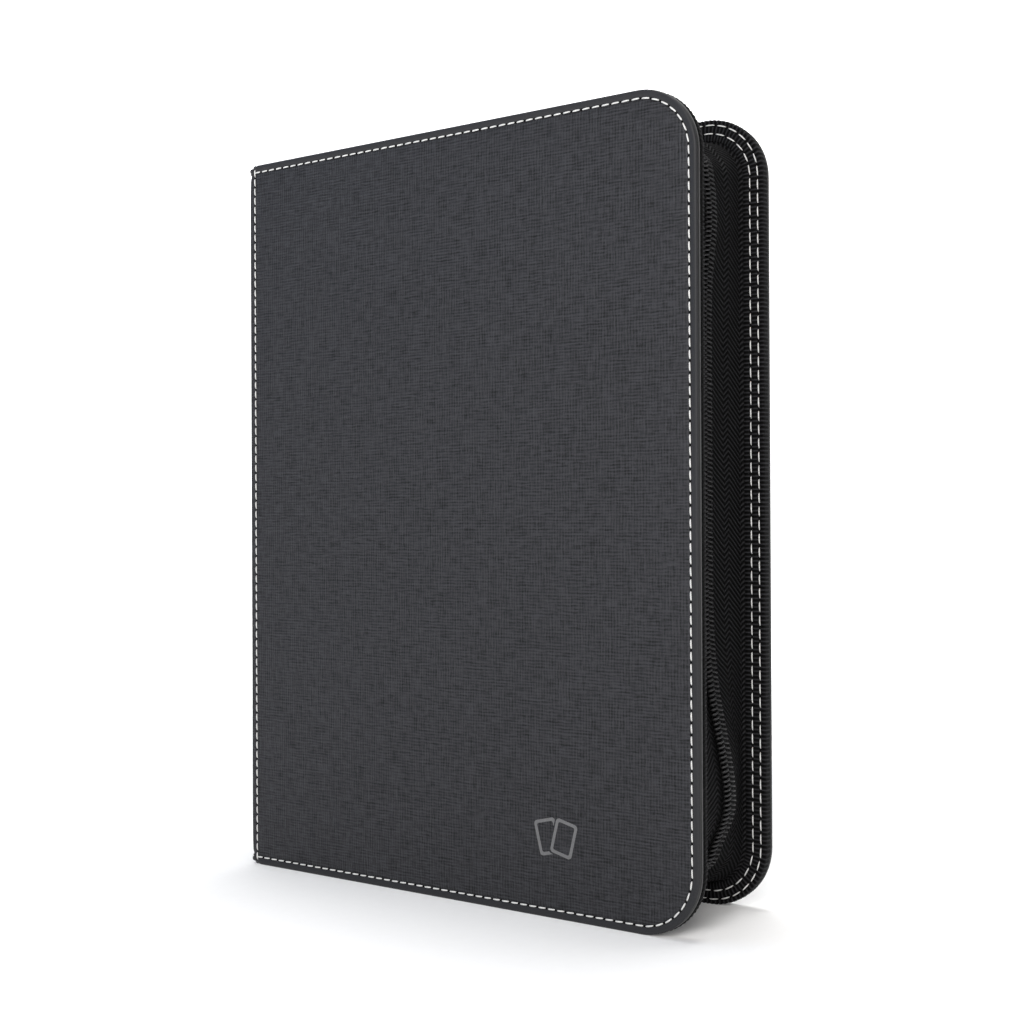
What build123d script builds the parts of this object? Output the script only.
from build123d import *
import os

# A zip-up trading card binder, standing closed on its bottom edge.
# +Z is up, the front cover faces -Y, the spine faces -X and the fore-edge is at +X.
# The origin is the middle of the footprint on the ground. Lengths are in millimetres.

os.makedirs("parts", exist_ok=True)

# Case
cover_height = 250.0
cover_width = 182.0
case_depth = 48.0
corner_radius = 20.0
edge_round = 1.2
fold_radius = 1.6
hinge_gutter = 4.0

# Layers of a cover, from the outer face inwards
skin_thickness = 0.8
foam_thickness = 1.2
board_thickness = 1.5
lining_thickness = 0.4
tape_thickness = 0.5
binding_thickness = 0.6
binding_wall = 0.5
binding_width = 7.0

# Spine
spine_board_thickness = 1.8

# Stitching
thread_width = 0.6
thread_height = 0.25
groove_depth = 0.3
edge_stitch_inset = 2.6
outer_row_inset = 1.4
inner_row_inset = 4.1

# Emblem on the front cover: two fanned card outlines
emblem_from_fore_edge = 50.0
emblem_from_bottom = 25.0
emblem_card_width = 8.0
emblem_card_height = 11.0
emblem_card_corner = 1.2
emblem_line = 1.0
emblem_spread = 6.0
emblem_tilt = 14.0

# Zip
zip_inset = 9.0
zip_start = 1.4
band_thickness = 0.6
chain_half_gap = 0.8
coil_width = 2.2
coil_height = 2.0
coil_start = 6.0
stop_length = 2.0
stop_height = 0.5
stop_start = 2.5
swing_room = 4.5

# Slider
slider_length = 12.0
slider_width = 8.8
slider_flange = 1.05
slider_plate = 1.2
slider_rail_clearance = 0.4
slider_tape_clearance = 0.8
slider_corner = 2.0
post_length = 3.0
post_width = 1.2
bridge_width = 2.2
bridge_start = 2.0
bridge_length = 8.2
bridge_wall = 1.2
bridge_roof = 1.0

# Puller
pin_radius = 0.6
pin_clearance = 0.3
pin_from_bridge_end = 2.4
link_thickness = 1.0
link_reach = 8.6
link_opening = 4.4
link_rail = 1.0
tab_length = 36.0
tab_width = 9.0
tab_thickness = 2.4
tab_neck_length = 4.0
tab_neck_clearance = 0.2
tab_wall = 0.5
tunnel_clearance = 0.15

# Pages
leaf_count = 20
leaf_pitch = 1.4
leaf_end_room = 27.0
leaf_fore_edge_room = 24.0
leaf_film = 0.3
root_film = 0.12
root_length = 4.0
root_clearance = 0.2
leaf_corner = 3.0
pocket_film = 0.12
pocket_rows = 2
pocket_columns = 2
weld_width = 4.0
page_binding_depth = 4.8
page_binding_margin = 0.9
page_flange_width = 3.0
page_flange_thickness = 0.6

# Depths of the layers below a cover's outer face
foam_depth = skin_thickness
board_depth = foam_depth + foam_thickness
lining_depth = board_depth + board_thickness
tape_depth = lining_depth + lining_thickness
binding_depth = tape_depth + tape_thickness
rim_depth = binding_depth + binding_thickness

# Places along X, from the spine to the fore-edge
spine_x = -cover_width / 2
fore_x = cover_width / 2
fold_x = spine_x + fold_radius
layer_x = fold_x + hinge_gutter
tape_x = layer_x + zip_start
stop_x = tape_x + stop_start
slider_x = tape_x + coil_start
front_coil_x = slider_x + slider_length + swing_room
spine_board_x = spine_x + skin_thickness
spine_lining_x = spine_board_x + spine_board_thickness
page_binding_x = spine_lining_x + lining_thickness
leaf_x = page_binding_x + page_binding_depth + root_clearance
beyond_spine_x = spine_x - 10.0

# Levels of the zip's straight run along the top
band_top = cover_height - zip_inset
band_bottom = band_top - band_thickness
coil_top = band_top + coil_height
plate_bottom = coil_top + slider_rail_clearance
plate_top = plate_bottom + slider_plate
pin_z = plate_top + pin_clearance + pin_radius
roof_bottom = pin_z + pin_radius + pin_clearance
roof_top = roof_bottom + bridge_roof
pin_x = slider_x + bridge_start + bridge_length - pin_from_bridge_end

# Leaves
leaf_width = fore_x - leaf_fore_edge_room - leaf_x
leaf_height = cover_height - 2 * leaf_end_room
stack_depth = (leaf_count - 1) * leaf_pitch


def write_piece(name, label):
    """Label a finished piece and write it as its own STEP file."""
    name.part.label = label
    export_step(name.part, f"parts/{label}.step")


def depth_plane(depth):
    """Plane parallel to the front cover, at a depth below its outer face, facing outwards."""
    return Plane.XZ.offset(case_depth / 2 - depth)


def cover_outline(inset, start_x):
    """Outline of a cover drawn in by inset: square at start_x, round at the fore-edge."""
    end_x = fore_x - inset
    with BuildSketch() as outline:
        with Locations(((start_x + end_x) / 2, cover_height / 2)):
            Rectangle(end_x - start_x, cover_height - 2 * inset)
        fillet(outline.vertices().group_by(Axis.X)[-1], radius=corner_radius - inset)
    return outline.sketch


def closed_row(inset):
    """Outline of a stitch row that runs round all four sides of a cover."""
    outside = cover_outline(inset, fold_x + inset)
    inside = cover_outline(inset + thread_width, fold_x + inset + thread_width)
    with BuildSketch() as row:
        add(outside)
        add(inside, mode=Mode.SUBTRACT)
    return row.sketch


def open_row(inset):
    """Outline of a stitch row that runs round three sides and is open at the spine."""
    outside = cover_outline(inset, layer_x)
    inside = cover_outline(inset + thread_width, beyond_spine_x)
    with BuildSketch() as row:
        add(outside)
        add(inside, mode=Mode.SUBTRACT)
    return row.sketch


def card_outlines():
    """Two rounded card outlines, fanned so that the right one lies over the left one."""
    back_card = Location((-emblem_spread / 2, 0), emblem_tilt)
    front_card = Location((emblem_spread / 2, 0), -emblem_tilt)
    inner_width = emblem_card_width - 2 * emblem_line
    inner_height = emblem_card_height - 2 * emblem_line
    with BuildSketch() as cards:
        with Locations(back_card):
            RectangleRounded(emblem_card_width, emblem_card_height, emblem_card_corner)
            RectangleRounded(inner_width, inner_height, emblem_card_corner / 2, mode=Mode.SUBTRACT)
        with Locations(front_card):
            RectangleRounded(
                emblem_card_width + emblem_line,
                emblem_card_height + emblem_line,
                emblem_card_corner,
                mode=Mode.SUBTRACT,
            )
            RectangleRounded(emblem_card_width, emblem_card_height, emblem_card_corner)
            RectangleRounded(inner_width, inner_height, emblem_card_corner / 2, mode=Mode.SUBTRACT)
    return cards.sketch


def emblem_place():
    """Where the emblem's centre lies in the plane of the front cover."""
    return Locations((fore_x - emblem_from_fore_edge, emblem_from_bottom))


def cover_sheet(inset, start_x, depth, thickness):
    """Flat sheet of a cover, from a depth below the outer face inwards."""
    outline = cover_outline(inset, start_x)
    with BuildPart() as sheet:
        with BuildSketch(depth_plane(depth + thickness)):
            add(outline)
        extrude(amount=thickness)
    return sheet


def cover_skin(has_emblem):
    """Leatherette tray: a face with a turned rim, open at the spine, grooved for its stitches."""
    outside = cover_outline(0, fold_x)
    inside = cover_outline(skin_thickness, beyond_spine_x)
    stitches = closed_row(edge_stitch_inset)
    with BuildPart() as skin:
        with BuildSketch(depth_plane(tape_depth)):
            add(outside)
        extrude(amount=tape_depth)
        outer_edges = skin.faces().sort_by(Axis.Y)[0].edges().sort_by(Axis.X)
        fillet(outer_edges[1:], radius=edge_round)
        with BuildSketch(depth_plane(tape_depth)):
            add(inside)
        extrude(amount=tape_depth - skin_thickness, mode=Mode.SUBTRACT)
        with BuildSketch(depth_plane(groove_depth)):
            add(stitches)
        extrude(amount=groove_depth, mode=Mode.SUBTRACT)
        if has_emblem:
            emblem = card_outlines()
            with BuildSketch(depth_plane(groove_depth)):
                with emblem_place():
                    add(emblem)
            extrude(amount=groove_depth, mode=Mode.SUBTRACT)
    return skin


def edge_stitching():
    """Thread of a cover's outer row, a little below the leatherette."""
    stitches = closed_row(edge_stitch_inset)
    with BuildPart() as thread:
        with BuildSketch(depth_plane(groove_depth)):
            add(stitches)
        extrude(amount=thread_height)
    return thread


def cover_emblem():
    """Inlaid emblem of the front cover."""
    emblem = card_outlines()
    with BuildPart() as inlay:
        with BuildSketch(depth_plane(groove_depth)):
            with emblem_place():
                add(emblem)
        extrude(amount=thread_height)
    return inlay


def edge_binding():
    """Ribbed ribbon folded over the zip tape's flange, grooved for its two stitch rows."""
    outside = cover_outline(0, layer_x)
    core = cover_outline(binding_wall, beyond_spine_x)
    window = cover_outline(binding_width, beyond_spine_x)
    rows = [open_row(outer_row_inset), open_row(inner_row_inset)]
    with BuildPart() as binding:
        with BuildSketch(depth_plane(rim_depth)):
            add(outside)
            add(window, mode=Mode.SUBTRACT)
        extrude(amount=rim_depth - tape_depth)
        with BuildSketch(depth_plane(binding_depth)):
            add(core)
        extrude(amount=tape_thickness, mode=Mode.SUBTRACT)
        for row in rows:
            with BuildSketch(depth_plane(rim_depth)):
                add(row)
            extrude(amount=groove_depth, mode=Mode.SUBTRACT)
    return binding


def rim_stitching():
    """The two rows of thread that hold the binding, a little below its face."""
    rows = [open_row(outer_row_inset), open_row(inner_row_inset)]
    with BuildPart() as thread:
        for row in rows:
            with BuildSketch(depth_plane(rim_depth - groove_depth + thread_height)):
                add(row)
            extrude(amount=thread_height)
    return thread


def zip_tape():
    """Half of the zip's tape: a flange sewn to the cover and a band that stands to the middle."""
    flange = cover_outline(binding_wall, tape_x)
    band = cover_outline(zip_inset, tape_x)
    inside = cover_outline(zip_inset + band_thickness, beyond_spine_x)
    with BuildPart() as tape:
        with BuildSketch(depth_plane(binding_depth)):
            add(flange)
            add(inside, mode=Mode.SUBTRACT)
        extrude(amount=tape_thickness)
        with BuildSketch(Plane.XZ.offset(chain_half_gap)):
            add(band)
            add(inside, mode=Mode.SUBTRACT)
        extrude(amount=case_depth / 2 - tape_depth - chain_half_gap)
    return tape


def zip_coil(top_start_x):
    """Row of zip teeth as one rail on the tape's outer face, starting at top_start_x on the top run."""
    outside = cover_outline(zip_inset - coil_height, slider_x)
    inside = cover_outline(zip_inset, beyond_spine_x)
    with BuildPart() as coil:
        with BuildSketch(Plane.XZ.offset(chain_half_gap)):
            add(outside)
            add(inside, mode=Mode.SUBTRACT)
            if top_start_x > slider_x:
                with Locations((slider_x, band_top)):
                    Rectangle(
                        top_start_x - slider_x,
                        coil_height,
                        align=(Align.MIN, Align.MIN),
                        mode=Mode.SUBTRACT,
                    )
        extrude(amount=coil_width)
    return coil


def zip_stops():
    """Bar tacks at both ends of a half tape."""
    stop_y = -chain_half_gap - coil_width / 2
    with BuildPart() as stops:
        with Locations((stop_x, stop_y, band_top)):
            Box(stop_length, coil_width, stop_height, align=(Align.MIN, Align.CENTER, Align.MIN))
        with Locations((stop_x, stop_y, zip_inset)):
            Box(stop_length, coil_width, stop_height, align=(Align.MIN, Align.CENTER, Align.MAX))
    return stops


def back_copy(front_piece):
    """The same piece on the back half of the case."""
    with BuildPart() as piece:
        mirror(front_piece.part, about=Plane.XZ)
    return piece


def fold_strip():
    """Quarter ring of leatherette between the spine and the front cover."""
    fold_y = fold_radius - case_depth / 2
    with BuildPart() as strip:
        with BuildSketch():
            with Locations((fold_x, fold_y)):
                Circle(fold_radius)
                Circle(fold_radius - skin_thickness, mode=Mode.SUBTRACT)
                Rectangle(
                    2 * fold_radius,
                    2 * fold_radius,
                    align=(Align.CENTER, Align.MIN),
                    mode=Mode.SUBTRACT,
                )
                Rectangle(
                    2 * fold_radius,
                    2 * fold_radius,
                    align=(Align.MIN, Align.CENTER),
                    mode=Mode.SUBTRACT,
                )
        extrude(amount=cover_height)
    return strip


def spine_sheet(x, thickness, half_width, end_inset):
    """Flat upright sheet of the spine, from x towards the pages."""
    with BuildPart() as sheet:
        with Locations((x, 0, end_inset)):
            Box(
                thickness,
                2 * half_width,
                cover_height - 2 * end_inset,
                align=(Align.MIN, Align.CENTER, Align.MIN),
            )
    return sheet


def spine_row():
    """Outline of the stitch row round the spine's outer face."""
    width = case_depth - 2 * fold_radius - 2 * edge_stitch_inset
    height = cover_height - 2 * edge_stitch_inset
    with BuildSketch() as row:
        with Locations((0, cover_height / 2)):
            Rectangle(width, height)
            Rectangle(width - 2 * thread_width, height - 2 * thread_width, mode=Mode.SUBTRACT)
    return row.sketch


def spine_plane(depth):
    """Plane parallel to the spine, at a depth below its outer face, facing outwards."""
    return Plane(origin=(spine_x + depth, 0, 0), x_dir=(0, -1, 0), z_dir=(-1, 0, 0))


def spine_skin():
    """Leatherette of the spine, turned in over both ends of its board."""
    stitches = spine_row()
    end_depth = skin_thickness + spine_board_thickness + lining_thickness
    with BuildPart() as skin:
        with Locations((spine_x, 0, 0)):
            Box(
                skin_thickness,
                case_depth - 2 * fold_radius,
                cover_height,
                align=(Align.MIN, Align.CENTER, Align.MIN),
            )
        for end_z in (0, cover_height - skin_thickness):
            with Locations((spine_x, 0, end_z)):
                Box(
                    end_depth,
                    case_depth - 2 * rim_depth,
                    skin_thickness,
                    align=(Align.MIN, Align.CENTER, Align.MIN),
                )
        with BuildSketch(spine_plane(groove_depth)):
            add(stitches)
        extrude(amount=groove_depth, mode=Mode.SUBTRACT)
    return skin


def spine_stitching():
    """Thread of the spine's stitch row."""
    stitches = spine_row()
    with BuildPart() as thread:
        with BuildSketch(spine_plane(groove_depth)):
            add(stitches)
        extrude(amount=thread_height)
    return thread


def page_rows():
    """Places of the two upright stitch rows that hold the page binding, one on each flange."""
    row_y = stack_depth / 2 + page_binding_margin + page_flange_width / 2
    return [-row_y, row_y]


def page_binding():
    """Welded edge of the page stack, with two thin flanges sewn to the spine."""
    body_width = stack_depth + 2 * page_binding_margin
    flange_face_x = page_binding_x + page_flange_thickness
    with BuildPart() as binding:
        with Locations((page_binding_x, 0, leaf_end_room)):
            Box(
                page_binding_depth,
                body_width,
                leaf_height,
                align=(Align.MIN, Align.CENTER, Align.MIN),
            )
            Box(
                page_flange_thickness,
                body_width + 2 * page_flange_width,
                leaf_height,
                align=(Align.MIN, Align.CENTER, Align.MIN),
            )
        for row_y in page_rows():
            with Locations((flange_face_x, row_y, leaf_end_room)):
                Box(
                    groove_depth,
                    thread_width,
                    leaf_height,
                    align=(Align.MAX, Align.CENTER, Align.MIN),
                    mode=Mode.SUBTRACT,
                )
    return binding


def page_stitching():
    """The two upright rows of thread in the page binding's flanges."""
    groove_floor_x = page_binding_x + page_flange_thickness - groove_depth
    with BuildPart() as thread:
        for row_y in page_rows():
            with Locations((groove_floor_x, row_y, leaf_end_room)):
                Box(
                    thread_height,
                    thread_width,
                    leaf_height,
                    align=(Align.MIN, Align.CENTER, Align.MIN),
                )
    return thread


def page_leaf(leaf_y):
    """Page of film, thin where it flexes at its root, with pockets welded on both sides."""
    body_x = leaf_x + root_length
    body_width = leaf_width - root_length
    pocket_width = (body_width - (pocket_columns + 1) * weld_width) / pocket_columns
    pocket_height = (leaf_height - (pocket_rows + 1) * weld_width) / pocket_rows
    centre_z = cover_height / 2
    with BuildPart() as leaf:
        with Locations((leaf_x, leaf_y, centre_z)):
            Box(root_length, root_film, leaf_height, align=(Align.MIN, Align.CENTER, Align.CENTER))
        with BuildSketch(Plane.XZ.offset(-leaf_y - leaf_film / 2)) as sheet:
            with Locations((body_x + body_width / 2, centre_z)):
                Rectangle(body_width, leaf_height)
            fillet(sheet.vertices().group_by(Axis.X)[-1], radius=leaf_corner)
        extrude(amount=leaf_film)
        with Locations((body_x + body_width / 2, leaf_y, centre_z)):
            with GridLocations(pocket_width + weld_width, 0, pocket_columns, 1):
                for row in range(pocket_rows):
                    row_z = (row - (pocket_rows - 1) / 2) * (pocket_height + weld_width)
                    with Locations((0, 0, row_z)):
                        Box(pocket_width, leaf_film + 2 * pocket_film, pocket_height)
    return leaf


def zip_slider():
    """Zip slider: two plates joined by a post at the shoulder end, with a bridge for the puller."""
    flange_height = plate_bottom - band_top - slider_tape_clearance
    floor_top = band_bottom - slider_tape_clearance
    bridge_x = slider_x + bridge_start
    with BuildPart() as slider:
        with BuildSketch(Plane.XY.offset(plate_bottom)) as plate:
            with Locations((slider_x + slider_length / 2, 0)):
                Rectangle(slider_length, slider_width)
            fillet(plate.vertices(), radius=slider_corner)
        extrude(amount=slider_plate)
        with BuildSketch(Plane.XY.offset(floor_top - slider_plate)) as floor:
            with Locations((slider_x + slider_length / 2, 0)):
                Rectangle(slider_length, slider_width)
            fillet(floor.vertices(), radius=slider_corner)
        extrude(amount=slider_plate)
        for side in (-1, 1):
            flange_y = side * (slider_width - slider_flange) / 2
            with Locations((slider_x + slider_length / 2, flange_y, plate_bottom)):
                Box(
                    slider_length - 2 * slider_corner,
                    slider_flange,
                    flange_height,
                    align=(Align.CENTER, Align.CENTER, Align.MAX),
                )
        with Locations((slider_x, 0, floor_top)):
            Box(
                post_length,
                post_width,
                plate_bottom - floor_top,
                align=(Align.MIN, Align.CENTER, Align.MIN),
            )
        with Locations((bridge_x, 0, plate_top)):
            Box(
                bridge_length,
                bridge_width,
                roof_top - plate_top,
                align=(Align.MIN, Align.CENTER, Align.MIN),
            )
        with Locations((bridge_x + bridge_wall, 0, plate_top)):
            Box(
                bridge_length - 2 * bridge_wall,
                bridge_width,
                roof_bottom - plate_top,
                align=(Align.MIN, Align.CENTER, Align.MIN),
                mode=Mode.SUBTRACT,
            )
    return slider


def puller_link():
    """Wire frame of the puller: a pin under the slider's bridge, two rails and a far bar."""
    link_width = link_opening + 2 * link_rail
    with BuildPart() as link:
        with BuildSketch(Plane.XY.offset(pin_z - link_thickness / 2)) as frame:
            with Locations((pin_x, 0)):
                Rectangle(link_reach + link_rail, link_width, align=(Align.MIN, Align.CENTER))
            fillet(frame.vertices().group_by(Axis.X)[-1], radius=link_rail)
            with Locations((pin_x - link_rail, 0)):
                Rectangle(
                    link_reach + link_rail,
                    link_opening,
                    align=(Align.MIN, Align.CENTER),
                    mode=Mode.SUBTRACT,
                )
        extrude(amount=link_thickness)
        with BuildSketch(Plane.XZ.offset(-link_width / 2)):
            with Locations((pin_x, pin_z)):
                Circle(pin_radius)
        extrude(amount=link_width)
    return link


def puller_tab():
    """Leatherette pull tab, folded round the link's far bar."""
    bar_x = pin_x + link_reach
    tunnel_length = link_rail + 2 * tunnel_clearance
    neck_x = bar_x - tunnel_clearance - tab_wall
    paddle_x = neck_x + tab_neck_length
    paddle_end_x = pin_x + tab_length
    with BuildPart() as tab:
        with BuildSketch(Plane.XY.offset(pin_z - tab_thickness / 2)) as outline:
            with Locations((neck_x, 0)):
                Rectangle(
                    paddle_end_x - neck_x,
                    link_opening - 2 * tab_neck_clearance,
                    align=(Align.MIN, Align.CENTER),
                )
            with Locations((paddle_x, 0)):
                Rectangle(
                    paddle_end_x - paddle_x,
                    tab_width,
                    align=(Align.MIN, Align.CENTER),
                )
            fillet(outline.vertices().group_by(Axis.X)[-1], radius=tab_width / 4)
        extrude(amount=tab_thickness)
        with Locations((bar_x - tunnel_clearance, 0, pin_z)):
            Box(
                tunnel_length,
                tab_width,
                link_thickness + 2 * tunnel_clearance,
                align=(Align.MIN, Align.CENTER, Align.CENTER),
                mode=Mode.SUBTRACT,
            )
    return tab


# Front and back halves of the case
front_skin = cover_skin(has_emblem=True)
write_piece(front_skin, "front_skin")
back_skin = back_copy(cover_skin(has_emblem=False))
write_piece(back_skin, "back_skin")
emblem_inlay = cover_emblem()
write_piece(emblem_inlay, "front_emblem")

half_pieces = {
    "foam": cover_sheet(skin_thickness, layer_x, foam_depth, foam_thickness),
    "board": cover_sheet(skin_thickness, layer_x, board_depth, board_thickness),
    "lining": cover_sheet(skin_thickness, layer_x, lining_depth, lining_thickness),
    "zip_tape": zip_tape(),
    "edge_binding": edge_binding(),
    "edge_stitching": edge_stitching(),
    "rim_stitching": rim_stitching(),
    "zip_stops": zip_stops(),
}
for piece_name, front_piece in half_pieces.items():
    write_piece(front_piece, f"front_{piece_name}")
    write_piece(back_copy(front_piece), f"back_{piece_name}")

front_coil = zip_coil(front_coil_x)
write_piece(front_coil, "front_zip_coil")
back_coil = back_copy(zip_coil(slider_x))
write_piece(back_coil, "back_zip_coil")

# Spine and folds
front_fold = fold_strip()
write_piece(front_fold, "front_fold")
back_fold = back_copy(front_fold)
write_piece(back_fold, "back_fold")
spine_cover = spine_skin()
write_piece(spine_cover, "spine_skin")
spine_half_width = case_depth / 2 - rim_depth
spine_board = spine_sheet(spine_board_x, spine_board_thickness, spine_half_width, skin_thickness)
write_piece(spine_board, "spine_board")
spine_lining = spine_sheet(spine_lining_x, lining_thickness, spine_half_width, skin_thickness)
write_piece(spine_lining, "spine_lining")
spine_thread = spine_stitching()
write_piece(spine_thread, "spine_stitching")

# Pages
stack_edge = page_binding()
write_piece(stack_edge, "page_binding")
stack_thread = page_stitching()
write_piece(stack_thread, "page_stitching")
for leaf_number in range(leaf_count):
    leaf = page_leaf(leaf_number * leaf_pitch - stack_depth / 2)
    write_piece(leaf, f"page_leaf_{leaf_number + 1:02d}")

# Slider and puller
slider = zip_slider()
write_piece(slider, "zip_slider")
link = puller_link()
write_piece(link, "puller_link")
tab = puller_tab()
write_piece(tab, "puller_tab")
